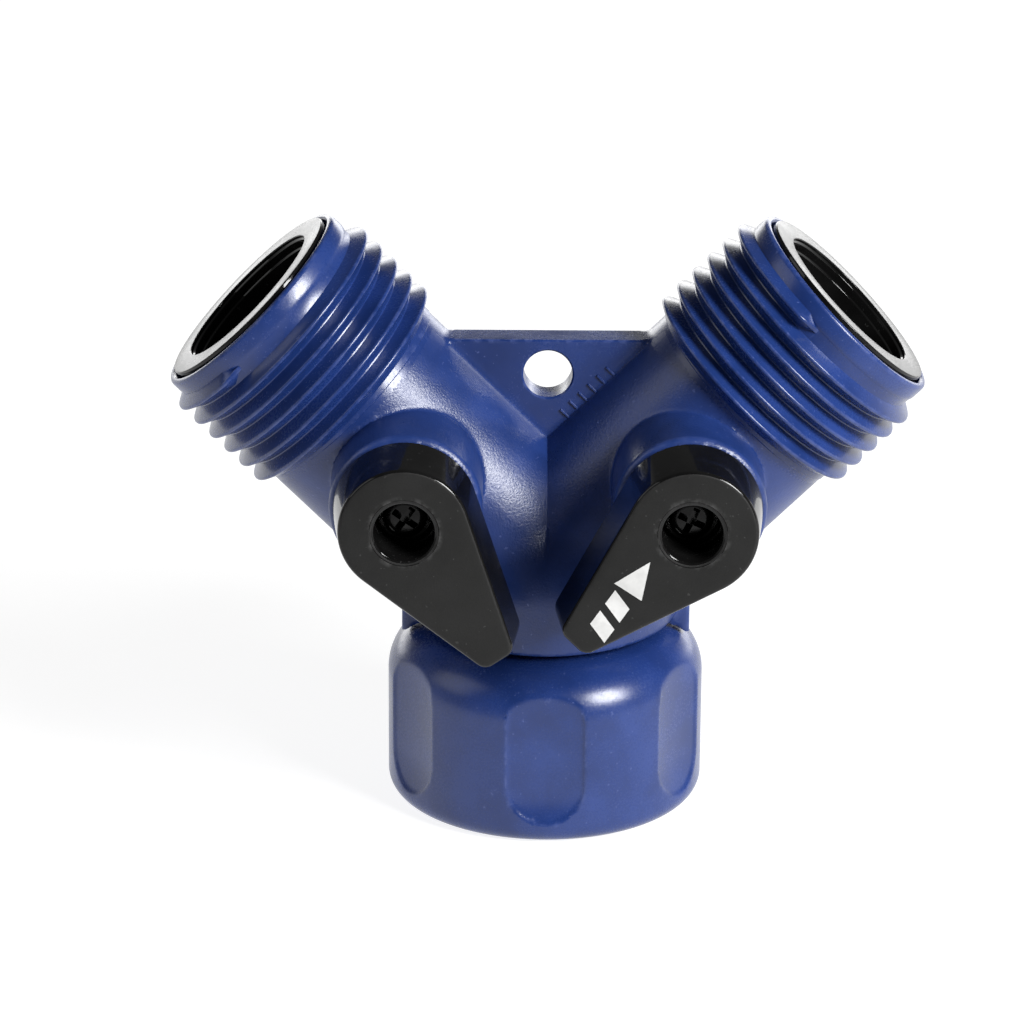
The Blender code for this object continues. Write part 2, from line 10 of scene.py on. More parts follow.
import bmesh
import bpy
import numpy as np
from mathutils import Matrix, Quaternion, Vector


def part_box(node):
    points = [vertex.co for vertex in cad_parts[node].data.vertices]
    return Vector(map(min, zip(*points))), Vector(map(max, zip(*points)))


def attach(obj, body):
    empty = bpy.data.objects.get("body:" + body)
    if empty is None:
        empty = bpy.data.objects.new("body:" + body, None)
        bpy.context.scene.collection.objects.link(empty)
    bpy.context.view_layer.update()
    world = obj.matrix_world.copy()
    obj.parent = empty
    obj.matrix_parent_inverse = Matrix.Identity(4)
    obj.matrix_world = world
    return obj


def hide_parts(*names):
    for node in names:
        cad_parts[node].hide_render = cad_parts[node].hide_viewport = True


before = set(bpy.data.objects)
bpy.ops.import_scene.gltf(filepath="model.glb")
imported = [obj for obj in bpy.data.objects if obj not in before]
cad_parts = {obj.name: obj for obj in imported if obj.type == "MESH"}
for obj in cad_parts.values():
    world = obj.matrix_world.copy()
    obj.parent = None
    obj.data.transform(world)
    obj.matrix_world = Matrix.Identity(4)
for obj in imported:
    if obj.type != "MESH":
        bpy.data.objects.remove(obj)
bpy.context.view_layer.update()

MM = 0.001
TAU = 2 * math.pi
GAP = 0.3
SHARP_ANGLE = math.radians(40)
EDGE_TURNS = (0.2, 0.7)  # an edge starts to wear at the first angle and is fully worn at the second

# Garden hose thread
PITCH = 25.4 / 11.5
MALE_MAJOR = 13.495
MALE_MINOR = 12.05
FEMALE_MAJOR = 13.70
FEMALE_MINOR = 12.30
CREST_FLAT = PITCH / 8
FLANK = math.radians(30)
THREAD_ANGLE = 114.5  # where the first ridge starts, in degrees about the thread's axis
RIDGE_SINK = 0.25  # how far a ridge reaches into the wall under it
RIDGE_CREST = ((0.17, 0.235), (0.05, 0.165), (0.0, 0.07))  # drop below the crest, half width there
RIDGE_LOWEST = 0.06  # what is left of a ridge's height where it fades out

# Body
ARM_ANGLE = math.radians(45)
APEX_Z = 24.0
ARM_RADIUS = 11.95
ARM_START = -3.0
CORE_END = 30.2
LIP_RADIUS = 12.2
LIP_FACE = 44.5
ARM_NECK_FILLET = 2.6
THREAD_FIRST = 30.2
THREAD_LAST = 42.3
MALE_FADE = (60, 9)  # degrees over which the ridge rises and ends
END_START = 27.0  # an arm's turned end starts inside its core
END_CORE = 10.5
RUNOUT = (28.1, 29.7)
LIP_STEP = 0.35
LIP_BEVEL = 0.4
CHAMBER_START = 13.0
CHAMBER_RADIUS = 9.8
WATERWAY_RADIUS = 5.5
SLEEVE_SEAT = 43.0
SLEEVE_SEAT_RADIUS = 11.4
NECK_RADIUS = 13.0
NECK_BOTTOM = 20.0
NECK_TOP = 32.0
NECK_DOME = 6.5
NECK_EDGE = 0.4
TAIL_RADIUS = 9.2
TAIL_BOTTOM = 12.9
TAIL_BORE = 7.0
GROOVE_RADIUS = 8.1
GROOVE_LOW = 14.5
GROOVE_HIGH = 16.1
WEB_HALF = 1.8
WEB_TOP = 51.5
WEB_BOTTOM = 34.0
WEB_HALF_WIDTH = 15.0
WEB_EDGE = 0.25
WEB_FILLET = 0.3
HANG_HOLE_Z = 47.7
HANG_HOLE_RADIUS = 2.6
HANG_HOLE_FLARE = 0.2
RIB_COUNT = 6
RIB_SPACING = 1.35
RIB_HALF_WIDTH = 0.13
RIB_HALF_LENGTH = 0.85
RIB_HEIGHT = 0.22
RIB_CENTRE = (4.35, 45.6)
GUSSET_HALF_WIDTH = 15.5
GUSSET_BOTTOM = 17.0
GUSSET_TOP = 28.0
GUSSET_EDGE = 0.4
GUSSET_FILLET = 0.5
BOSS_RADIUS = 7.95
BOSS_FACE = 18.6
BOSS_ROLL = 0.8
BOSS_FILLET = 0.25
BALL_SLOT_FLOOR = 5.7
POCKET_RADIUS = 4.8
POCKET_FLOOR = 11.6
STEM_BORE = 3.8
SPIGOT_FLOOR = 15.4
SPIGOT_BORE = 5.2
SPIGOT_BEVEL = 0.25
BODY_GRID = 0.35
SMOOTH_FROM = 29.0  # along an arm, where the grained surface ends and the smooth one starts

# Swivel nut
NUT_RADIUS = 17.0
NUT_DOME = 5.5
NUT_TOP = 19.15
NUT_ROLL = 2.0
RECESS_COUNT = 6
RECESS_HALF_WIDTH = 4.15
RECESS_LOW = 2.4
RECESS_HIGH = 17.6
RECESS_FLOOR = 16.05
RECESS_HOLLOW = 0.25
RECESS_FLOOR_FILLET = 0.35
RECESS_EDGE = 0.22
SCOOP_START = 6.4
SCOOP_RISE = 0.75
NUT_CLEARANCE = 0.5
NUT_MOUTH = 15.3
NUT_THREAD_FIRST = 1.6
NUT_THREAD_LAST = 8.6
NUT_THREAD_END = 9.4
NUT_WASHER_ROOM = 12.9
NUT_CLIP_ROOM = 11.0
NUT_TOP_BORE = 9.7
NUT_FADE = (60, 30)
NUT_GRID = 0.3

# Valve pieces, from the pivot outwards
PIVOT_ALONG_ARM = 20.75
BALL_RADIUS = 7.5
BALL_BORE = 5.0
BALL_EDGE = 0.25
BALL_SLOT_WIDTH = 3.1
HUB_RADIUS = 6.75
TIP_REACH = 15.85
TIP_SPREAD = 0.9
TIP_CORNER = 1.25
LEVER_FACE = 25.5
LEVER_BACK = BOSS_FACE + GAP
LEVER_DRAFT = 0.75
LEVER_EDGE = 0.45
LEVER_SHARP_ANGLE = math.radians(30)
OUTLINE_POINTS = 240
LEVER_SPIGOT = 4.9
LEVER_SPIGOT_END = 15.7
LEVER_SQUARE_ROOM = 2.9
HANDLE_HOLE = 3.1
HANDLE_FLOOR = 19.6
HANDLE_WEB_LOW = 18.3
SCREW_HOLE = 1.4
SCREW_RADIUS = 1.0
SCREW_HEAD_RADIUS = 2.3
SCREW_HEAD_LOW = HANDLE_FLOOR + GAP
SCREW_HEAD_HIGH = 21.3
SCREW_HEAD_ROLL = 0.9
SCREW_TIP = 13.3
SCREW_TURN = 20
MARK_REACH = 9.9  # from the pivot to the middle of the flow mark
MARK_TURN = math.radians(101)
MARK_HALF_HEIGHT = 1.2
MARK_LEAN = 0.45

# Outlet sleeves
SLEEVE_FACE = 44.9
SLEEVE_FLANGE_RADIUS = 11.1
SLEEVE_END = PIVOT_ALONG_ARM + 7.4 + GAP
SLEEVE_MOUTH = 8.2
SLEEVE_STEP = 7.3
SLEEVE_STEP_DEPTH = 4.6
SLEEVE_FUNNEL_DEPTH = 8.2
SLEEVE_RIM = 0.32  # how much wider the bore is at its rim, and at the step below it
SLEEVE_RIM_STEP = 0.14

REST_FROM_DOWN = {"left": math.radians(35), "right": math.radians(45)}
SIDES = {"left": -1, "right": 1}

nut_low, nut_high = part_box("swivel_nut")
AXIS_Y = (nut_low.y + nut_high.y) / 2 / MM


# ---------------------------------------------------------------- mesh helpers


def make_object(name, shape):
    """An object from a mesh or a bmesh in millimetres about the inlet axis."""
    mesh = shape
    if isinstance(shape, bmesh.types.BMesh):
        mesh = bpy.data.meshes.new(name)
        shape.to_mesh(mesh)
        shape.free()
    obj = bpy.data.objects.new(name, mesh)
    bpy.context.scene.collection.objects.link(obj)
    mesh.shade_smooth()
    mesh.set_sharp_from_angle(angle=SHARP_ANGLE)
    return obj


def to_frame(obj):
    """Move a mesh from millimetres about the inlet axis into the frame's metres."""
    obj.data.transform(Matrix.Translation((0, AXIS_Y * MM, 0)) @ Matrix.Scale(MM, 4))
    return obj


def arc(centre, radius, start, end, steps):
    """Points (radius, height) along a circular arc, both ends included; angles in degrees."""
    angles = [math.radians(start + (end - start) * i / steps) for i in range(steps + 1)]
    return [(centre[0] + radius * math.cos(a), centre[1] + radius * math.sin(a)) for a in angles]


def softened(profile, sizes, steps=3):
    """Round the corners of an open profile: sizes maps a corner's index to its radius."""
    points = []
    for i, corner in enumerate(profile):
        if i not in sizes:
            points.append(corner)
            continue
        here = Vector(corner)
        before = (Vector(profile[i - 1]) - here).normalized() * sizes[i]
        after = (Vector(profile[(i + 1) % len(profile)]) - here).normalized() * sizes[i]
        for step in range(steps + 1):
            t = step / steps
            points.append(tuple(here + before * (1 - t) ** 2 + after * t**2))
    return points


def turned(profile, segments=128):
    """Spin a (radius, height) profile about Z. It closes on itself unless both ends lie on the axis."""
    bm = bmesh.new()
    closed = profile[0][0] > 0
    rings = []
    for radius, height in profile:
        if radius <= 0:
            rings.append([bm.verts.new((0, 0, height))])
            continue
        angles = [TAU * i / segments for i in range(segments)]
        rings.append([bm.verts.new((radius * math.cos(a), radius * math.sin(a), height)) for a in angles])
    pairs = list(zip(rings, rings[1:]))
    if closed:
        pairs.append((rings[-1], rings[0]))
    for lower, upper in pairs:
        for i in range(segments):
            j = (i + 1) % segments
            corners = [lower[i % len(lower)], lower[j % len(lower)]]
            corners += [upper[j % len(upper)], upper[i % len(upper)]]
            corners = list(dict.fromkeys(corners))
            if len(corners) > 2:
                bm.faces.new(corners)
    bmesh.ops.recalc_face_normals(bm, faces=bm.faces)
    return bm


def loft(sections, closed=False):
    """Join closed outlines that have the same number of points; cap the ends or join last to first."""
    bm = bmesh.new()
    rings = [[bm.verts.new(point) for point in section] for section in sections]
    pairs = list(zip(rings, rings[1:]))
    if closed:
        pairs.append((rings[-1], rings[0]))
    else:
        bm.faces.new(rings[0])
        bm.faces.new(rings[-1])
    for lower, upper in pairs:
        for i in range(len(lower)):
            j = (i + 1) % len(lower)
            bm.faces.new((lower[i], lower[j], upper[j], upper[i]))
    bmesh.ops.recalc_face_normals(bm, faces=bm.faces)
    return bm


def moved(bm, matrix):
    bmesh.ops.transform(bm, matrix=matrix, verts=bm.verts)
    return bm


def on_arm(side):
    """Turns a shape built about Z into one along an arm's axis."""
    return Matrix.Translation((0, 0, APEX_Z)) @ Matrix.Rotation(SIDES[side] * ARM_ANGLE, 4, "Y")


def on_stem(side):
    """Turns a shape built about Z into one along a valve's stem, with +Z outwards, lever at rest."""
    x = SIDES[side] * PIVOT_ALONG_ARM * math.sin(ARM_ANGLE)
    z = APEX_Z + PIVOT_ALONG_ARM * math.cos(ARM_ANGLE)
    turn = Matrix.Rotation(SIDES[side] * REST_FROM_DOWN[side], 4, "Y")
    return Matrix.Translation((x, 0, z)) @ turn @ Matrix.Rotation(math.radians(90), 4, "X")


def combine(obj, shapes, operation):
    """Join shapes to an object, or cut them out of it, then throw the shapes away."""
    for shape in shapes:
        other = make_object("shape", shape)
        modifier = obj.modifiers.new("combine", "BOOLEAN")
        modifier.operation = operation
        modifier.solver = "MANIFOLD"
        modifier.object = other
        bpy.context.view_layer.update()
        result = obj.evaluated_get(bpy.context.evaluated_depsgraph_get())
        mesh = bpy.data.meshes.new_from_object(result)
        obj.modifiers.clear()
        obj.data = mesh
        bpy.data.objects.remove(other)
    return obj


# ---------------------------------------------------------------- distance fields


def blend_min(a, b, reach):
    """The smaller of two distances, with a fillet about reach wide where they meet."""
    h = np.clip(0.5 + 0.5 * (b - a) / reach, 0, 1)
    return b + (a - b) * h - reach * h * (1 - h)


def blend_max(a, b, reach):
    return -blend_min(-a, -b, reach)


def rounded_end(across, along, radius, reach, roll):
    """A rod of that radius that ends at along = reach with its edge rolled over."""
    a = across - (radius - roll)
    b = along - (reach - roll)
    return np.hypot(np.maximum(a, 0), np.maximum(b, 0)) + np.minimum(np.maximum(a, b), 0) - roll


def plate(x, y, z, half_x, half_y, low, high, roll):
    """A flat block with rounded edges."""
    a = np.abs(x) - half_x + roll
    b = np.abs(y) - half_y + roll
    c = np.abs(z - (low + high) / 2) - (high - low) / 2 + roll
    outside = np.sqrt(np.maximum(a, 0) ** 2 + np.maximum(b, 0) ** 2 + np.maximum(c, 0) ** 2)
    return outside + np.minimum(np.maximum(np.maximum(a, b), c), 0) - roll


def body_field(p):
    """The body without threads, lips, tail and bores. It is the same on its left and right."""
    x, y, z = np.abs(p[..., 0]), p[..., 1], p[..., 2]
    sine, cosine = math.sin(ARM_ANGLE), math.cos(ARM_ANGLE)
    along = x * sine + (z - APEX_Z) * cosine
    across = np.hypot(x * cosine - (z - APEX_Z) * sine, y)
    arm = np.maximum(np.maximum(across - ARM_RADIUS, along - CORE_END), ARM_START - along)
    neck = rounded_end(np.hypot(x, y), z, NECK_RADIUS, NECK_TOP, NECK_DOME)
    field = blend_max(blend_min(arm, neck, ARM_NECK_FILLET), NECK_BOTTOM - z, NECK_EDGE)
    gussets = plate(x, y, z, GUSSET_HALF_WIDTH, WEB_HALF, GUSSET_BOTTOM, GUSSET_TOP, GUSSET_EDGE)
    nut_top = rounded_end(np.hypot(x, y), z, NUT_RADIUS, NUT_TOP, NUT_DOME)
    gussets = blend_max(gussets, NUT_CLEARANCE - nut_top, GUSSET_EDGE / 2)
    field = blend_min(field, gussets, GUSSET_FILLET)
    web = plate(x, y, z, WEB_HALF_WIDTH, WEB_HALF, WEB_BOTTOM, WEB_TOP, WEB_EDGE)
    field = blend_min(field, web, WEB_FILLET)
    pivot_x = PIVOT_ALONG_ARM * sine
    pivot_z = APEX_Z + PIVOT_ALONG_ARM * cosine
    boss = rounded_end(np.hypot(x - pivot_x, z - pivot_z), -y, BOSS_RADIUS, BOSS_FACE, BOSS_ROLL)
    return blend_min(field, np.maximum(boss, y + BALL_RADIUS), BOSS_FILLET)


def nut_field(p):
    """The nut's outside with its grip recesses, filled in."""
    x, y, z = p[..., 0], p[..., 1], p[..., 2]
    radius = np.hypot(x, y)
    top = rounded_end(radius, z, NUT_RADIUS, NUT_TOP, NUT_DOME)
    bottom = rounded_end(radius, -z, NUT_RADIUS, 0.0, NUT_ROLL)
    outside = np.maximum(top, bottom)
    angle = np.arctan2(x, -y)
    sector = TAU / RECESS_COUNT
    angle = angle - sector * np.round(angle / sector)
    across = radius * np.sin(angle)
    outwards = radius * np.cos(angle)
    middle = (RECESS_LOW + RECESS_HIGH) / 2
    straight = (RECESS_HIGH - RECESS_LOW) / 2 - RECESS_HALF_WIDTH
    outline = np.hypot(across, np.maximum(np.abs(z - middle) - straight, 0)) - RECESS_HALF_WIDTH
    scoop = np.maximum(SCOOP_START - z, 0) / (SCOOP_START - RECESS_LOW)
    floor = RECESS_FLOOR + RECESS_HOLLOW * (across / RECESS_HALF_WIDTH) ** 2 + SCOOP_RISE * scoop**2
    recess = blend_max(outline, floor - outwards, RECESS_FLOOR_FILLET)
    return blend_max(outside, -recess, RECESS_EDGE)


def surface_net(field, low, high, step):
    """Mesh the zero surface of a distance field, with every vertex moved onto the surface."""
    axes = [np.arange(a, b + step, step) for a, b in zip(low, high)]
    inside = field(np.stack(np.meshgrid(*axes, indexing="ij"), -1)) < 0
    shape = [n - 1 for n in inside.shape]
    count = np.zeros(shape, int)
    for i, j, k in product((0, 1), repeat=3):
        count += inside[i : i + shape[0], j : j + shape[1], k : k + shape[2]]
    cells = np.argwhere((count > 0) & (count < 8))
    index = np.full(shape, -1)
    index[tuple(cells.T)] = np.arange(len(cells))
    centres = (cells + 0.5) * step + [a[0] for a in axes]
    points = centres.copy()
    nudge = 0.02
    for _ in range(5):
        ahead_behind = [field(points + n) - field(points - n) for n in nudge * np.eye(3)]
        slope = np.stack(ahead_behind, -1) / (2 * nudge)
        size = np.maximum((slope**2).sum(-1), 0.25)
        points = points - slope * (field(points) / size)[:, None]
        points = np.clip(points, centres - 0.6 * step, centres + 0.6 * step)
    faces = []
    for axis in range(3):
        a = np.moveaxis(inside, axis, 0)
        cell = np.moveaxis(index, axis, 0)
        changes = (a[:-1] != a[1:])[:, 1:-1, 1:-1]
        i, j, k = np.nonzero(changes)
        quads = np.stack([cell[i, j, k], cell[i, j + 1, k], cell[i, j + 1, k + 1], cell[i, j, k + 1]], -1)
        backwards = a[i, j + 1, k + 1] == (axis == 1)
        quads[backwards] = quads[backwards][:, ::-1]
        faces.append(quads)
    mesh = bpy.data.meshes.new("net")
    mesh.from_pydata(points.tolist(), [], np.concatenate(faces).tolist())
    mesh.update()
    return mesh


# ---------------------------------------------------------------- materials


def material(name, colour, roughness, metallic=0.0, ior=1.5):
    """A new Principled material; the fine detail is added by the functions below."""
    mat = bpy.data.materials.new(name)
    mat.use_nodes = True
    shader = mat.node_tree.nodes["Principled BSDF"]
    shader.inputs["Base Color"].default_value = (*colour, 1)
    shader.inputs["Roughness"].default_value = roughness
    shader.inputs["Metallic"].default_value = metallic
    shader.inputs["IOR"].default_value = ior
    return mat


def noise(mat, size, detail=3.0, stretch=(1, 1, 1)):
    """A noise texture whose blobs are about that many millimetres across."""
    nodes, links = mat.node_tree.nodes, mat.node_tree.links
    where = nodes.new("ShaderNodeTexCoord")
    mapping = nodes.new("ShaderNodeMapping")
    mapping.inputs["Scale"].default_value = stretch
    texture = nodes.new("ShaderNodeTexNoise")
    texture.inputs["Scale"].default_value = 1 / (size * MM)
    texture.inputs["Detail"].default_value = detail
    texture.inputs["Roughness"].default_value = 0.55
    links.new(where.outputs["Object"], mapping.inputs["Vector"])
    links.new(mapping.outputs["Vector"], texture.inputs["Vector"])
    return texture.outputs["Fac"]


RANGE_SOCKETS = ("From Min", "From Max", "To Min", "To Max")


def remap(mat, value, low, high, to_low, to_high):
    node = mat.node_tree.nodes.new("ShaderNodeMapRange")
    for name, number in zip(RANGE_SOCKETS, (low, high, to_low, to_high)):
        node.inputs[name].default_value = number
    mat.node_tree.links.new(value, node.inputs["Value"])
    return node.outputs["Result"]


def maths(mat, operation, *values):
    node = mat.node_tree.nodes.new("ShaderNodeMath")
    node.operation = operation
    for socket, value in zip(node.inputs, values):
        if isinstance(value, (int, float)):
            socket.default_value = value
        else:
            mat.node_tree.links.new(value, socket)
    return node.outputs["Value"]


def mix_colour(mat, factor, first, second):
    node = mat.node_tree.nodes.new("ShaderNodeMix")
    node.data_type = "RGBA"
    mat.node_tree.links.new(factor, node.inputs[0])
    for socket, value in zip((node.inputs[6], node.inputs[7]), (first, second)):
        if isinstance(value, tuple):
            socket.default_value = (*value, 1)
        else:
            mat.node_tree.links.new(value, socket)
    return node.outputs[2]


def bump(mat, height, distance, below=None):
    """A bump that many millimetres high, on top of the bump below it."""
    node = mat.node_tree.nodes.new("ShaderNodeBump")
    node.inputs["Distance"].default_value = distance * MM
    mat.node_tree.links.new(height, node.inputs["Height"])
    if below:
        mat.node_tree.links.new(below, node.inputs["Normal"])
    return node.outputs["Normal"]


def wire(mat, **sockets):
    """Link node outputs to the shader's sockets, named in snake case."""
    shader = mat.node_tree.nodes["Principled BSDF"]
    for name, value in sockets.items():
        mat.node_tree.links.new(value, shader.inputs[name.replace("_", " ").title()])
    return mat


def moulded(
    name, colour, worn, low, high, grain=0.22, grain_depth=0.006, waves=0.004, dust=0.0, ior=1.5, wear=0.5
):
    """Moulded plastic with roughness from low to high: a grain of that size and depth in millimetres, slight
    waviness, sparse light specks (dust), and the worn colour rubbed along its edges (wear)."""
    mat = material(name, colour, (low + high) / 2, ior=ior)
    cloud = noise(mat, 6.0, 4.0)
    fine = noise(mat, grain, 2.0)
    soft = noise(mat, 2.4, 2.0)
    edges = mat.node_tree.nodes.new("ShaderNodeAttribute")
    edges.attribute_name = "edge"
    rubbed = maths(mat, "MULTIPLY", edges.outputs["Fac"], remap(mat, noise(mat, 1.1), 0.45, 0.65, 0.0, wear))
    speck = remap(mat, noise(mat, 0.45, 1.0), 0.735, 0.76, 0.0, dust)
    darker = tuple(c * 0.80 for c in colour)
    lighter = tuple(min(1.0, c * 1.15 + 0.002) for c in colour)
    base = mix_colour(mat, remap(mat, cloud, 0.32, 0.68, 0.0, 1.0), darker, lighter)
    base = mix_colour(mat, maths(mat, "MAXIMUM", rubbed, speck), base, worn)
    gloss = remap(mat, cloud, 0.3, 0.7, low, high)
    gloss = maths(mat, "ADD", gloss, remap(mat, fine, 0.3, 0.7, -0.04, 0.04))
    gloss = maths(mat, "ADD", gloss, maths(mat, "MULTIPLY", rubbed, 0.10))
    normal = bump(mat, soft, waves)
    normal = bump(mat, fine, grain_depth, below=normal)
    return wire(mat, base_color=base, roughness=gloss, normal=normal)


def metal(name, colour, low, high):
    """Turned or plated metal with fine directional marks and cloudy gloss."""
    mat = material(name, colour, (low + high) / 2, metallic=1.0)
    marks = noise(mat, 0.5, 4.0, (1, 1, 12))
    cloud = noise(mat, 3.0, 3.0)
    base = mix_colour(mat, cloud, tuple(c * 0.8 for c in colour), colour)
    gloss = remap(mat, cloud, 0.3, 0.7, low, high)
    gloss = maths(mat, "ADD", gloss, remap(mat, marks, 0.3, 0.7, -0.03, 0.05))
    return wire(mat, base_color=base, roughness=gloss, normal=bump(mat, marks, 0.003))


BLUE = (0.011, 0.032, 0.150)
BLUE_WORN = (0.07, 0.10, 0.27)
BLACK_WORN = (0.09, 0.09, 0.09)
BLACK = (0.012, 0.012, 0.012)
SATIN_BLACK = (0.007, 0.007, 0.0068)
GLOSS_BLACK = (0.004, 0.004, 0.004)
RUBBER_WORN = (0.05, 0.05, 0.05)
SEAT_WHITE = (0.78, 0.77, 0.73)
PRINT_WHITE = (0.64, 0.64, 0.63)

blue_grained = moulded("blue_grained", BLUE, BLUE_WORN, 0.29, 0.37, 0.24, 0.030, 0.008, 0.7)
blue_smooth = moulded("blue_smooth", BLUE, BLUE_WORN, 0.20, 0.30, 0.30, 0.004, 0.010, 0.7)
blue_nut = moulded("blue_nut", BLUE, BLUE_WORN, 0.23, 0.30, 0.26, 0.005, 0.010, 0.7)
black_satin = moulded("black_satin", SATIN_BLACK, BLACK_WORN, 0.50, 0.60, 0.22, 0.012, 0.002, 0.25, 1.38)
black_gloss = moulded("black_gloss", GLOSS_BLACK, BLACK_WORN, 0.05, 0.09, 0.5, 0.001, 0.0015, 0.2, 1.36, 0.0)
black_ring = moulded("black_ring", BLACK, BLACK_WORN, 0.24, 0.34, 0.25, 0.008, 0.002, 0.2)
rubber = moulded("rubber", BLACK, RUBBER_WORN, 0.65, 0.8, 0.3, 0.02, 0.01, 0.5)
seat_white = moulded("seat_white", SEAT_WHITE, (0.7, 0.69, 0.66), 0.35, 0.45, 0.3, 0.006, 0.003)
print_white = moulded("print_white", PRINT_WHITE, (0.52, 0.52, 0.51), 0.40, 0.50, 0.16, 0.008, 0.002)
steel = metal("steel", (0.40, 0.40, 0.39), 0.16, 0.28)
screw_black = metal("screw_black", (0.035, 0.035, 0.035), 0.10, 0.17)
plated = metal("plated", (0.72, 0.72, 0.73), 0.06, 0.12)


# ---------------------------------------------------------------- thread


def thread_ridge(root, crest, first, last, start_fade, end_fade, steps_per_turn=120):
    """A right-hand helical ridge about Z with a rounded crest; it fades over the given degrees."""
    outwards = 1 if crest > root else -1
    height = abs(crest - root)
    turns = (last - first) / PITCH
    steps = round(turns * steps_per_turn)
    half_base = CREST_FLAT / 2 + height * math.tan(FLANK)
    sections = []
    for step in range(steps + 1):
        turned_by = 360 * step / steps_per_turn
        left = 360 * (steps - step) / steps_per_turn
        full = max(RIDGE_LOWEST, min(1.0, turned_by / start_fade, left / end_fade))
        tall = height * full
        base = half_base * full
        half = [(-RIDGE_SINK, base + 0.20), (0.02, base + 0.06), (0.12 * full, base - 0.06 * full)]
        half += [(tall - drop * full, away) for drop, away in RIDGE_CREST]
        outline = [(rise, -away) for rise, away in half] + half[::-1]
        angle = math.radians(THREAD_ANGLE + turned_by)
        z = first + PITCH * step / steps_per_turn
        section = []
        for rise, away in outline:
            r = root + outwards * rise
            section.append((r * math.cos(angle), r * math.sin(angle), z + away))
        sections.append(section)
    return loft(sections)


# ---------------------------------------------------------------- body


def arm_end():
    """The outer end of an arm: thread root, relief and lip."""
    profile = [(0, END_START), (END_CORE, END_START), (END_CORE, RUNOUT[0]), (MALE_MINOR, RUNOUT[1])]
    profile += [(MALE_MINOR, THREAD_LAST), (LIP_RADIUS, THREAD_LAST + LIP_STEP)]
    profile += [(LIP_RADIUS, LIP_FACE), (0, LIP_FACE)]
    return turned(softened(profile, {5: 0.3, 6: 0.45}), 192)


def arm_bore():
    """The waterway, the valve chamber and the sleeve's seat in an arm."""
    past = LIP_FACE + 3
    flared = SLEEVE_SEAT_RADIUS + LIP_BEVEL
    profile = [(0, -1), (WATERWAY_RADIUS, -1), (WATERWAY_RADIUS, CHAMBER_START)]
    profile += [(CHAMBER_RADIUS, CHAMBER_START), (CHAMBER_RADIUS, SLEEVE_SEAT)]
    profile += [(SLEEVE_SEAT_RADIUS, SLEEVE_SEAT), (SLEEVE_SEAT_RADIUS, LIP_FACE - LIP_BEVEL / 2)]
    profile += [(flared, LIP_FACE + LIP_BEVEL / 2), (flared, past), (0, past)]
    return turned(profile, 128)


def stem_bore():
    """The stem's pocket and bore, and the lever's socket in the boss."""
    past = BOSS_FACE + 3
    flared = SPIGOT_BORE + 2 * SPIGOT_BEVEL
    profile = [(0, BALL_SLOT_FLOOR), (POCKET_RADIUS, BALL_SLOT_FLOOR), (POCKET_RADIUS, POCKET_FLOOR)]
    profile += [(STEM_BORE, POCKET_FLOOR), (STEM_BORE, SPIGOT_FLOOR), (SPIGOT_BORE, SPIGOT_FLOOR)]
    profile += [(SPIGOT_BORE, BOSS_FACE - SPIGOT_BEVEL), (flared, BOSS_FACE + SPIGOT_BEVEL)]
    profile += [(flared, past), (0, past)]
    return turned(profile, 96)


def tail():
    """The tail that the nut turns on, with the clip's groove; it starts inside the neck."""
    profile = [(0, TAIL_BOTTOM), (TAIL_RADIUS, TAIL_BOTTOM), (TAIL_RADIUS, GROOVE_LOW)]
    profile += [(GROOVE_RADIUS, GROOVE_LOW), (GROOVE_RADIUS, GROOVE_HIGH)]
    profile += [(TAIL_RADIUS, GROOVE_HIGH), (TAIL_RADIUS, NECK_BOTTOM + 1.5), (0, NECK_BOTTOM + 1.5)]
    return turned(softened(profile, {1: 0.4}), 128)


def hang_hole():
    """A hole through the web with a slight flare at both faces."""
    flare = HANG_HOLE_RADIUS + HANG_HOLE_FLARE
    narrow = WEB_HALF - HANG_HOLE_FLARE
    profile = [(0, -4), (flare, -4), (flare, -WEB_HALF - 0.02), (HANG_HOLE_RADIUS, -narrow)]
    profile += [(HANG_HOLE_RADIUS, narrow), (flare, WEB_HALF + 0.02), (flare, 4), (0, 4)]
    place = Matrix.Translation((0, 0, HANG_HOLE_Z)) @ Matrix.Rotation(math.radians(90), 4, "X")
    return moved(turned(profile, 96), place)


def web_ribs():
    """Short raised ribs on the web beside the right arm, all alike."""
    corners = ((-1, -1), (1, -1), (1, 1), (-1, 1))
    foot = [(x * RIB_HALF_WIDTH, z * RIB_HALF_LENGTH) for x, z in corners]
    top = [(x * 0.5, z * 0.94) for x, z in foot]
    layers = ((foot, WEB_HALF - 0.3), (foot, WEB_HALF + RIB_HEIGHT - 0.1), (top, WEB_HALF + RIB_HEIGHT))
    slope = math.sin(ARM_ANGLE)
    ribs = []
    for i in range(RIB_COUNT):
        bm = loft([[(x, -y, z) for x, z in shape] for shape, y in layers])
        along = RIB_SPACING * (i - (RIB_COUNT - 1) / 2) * slope
        place = Matrix.Translation((RIB_CENTRE[0] + along, 0, RIB_CENTRE[1] + along))
        ribs.append(moved(bm, place @ Matrix.Rotation(-ARM_ANGLE, 4, "Y")))
    return ribs


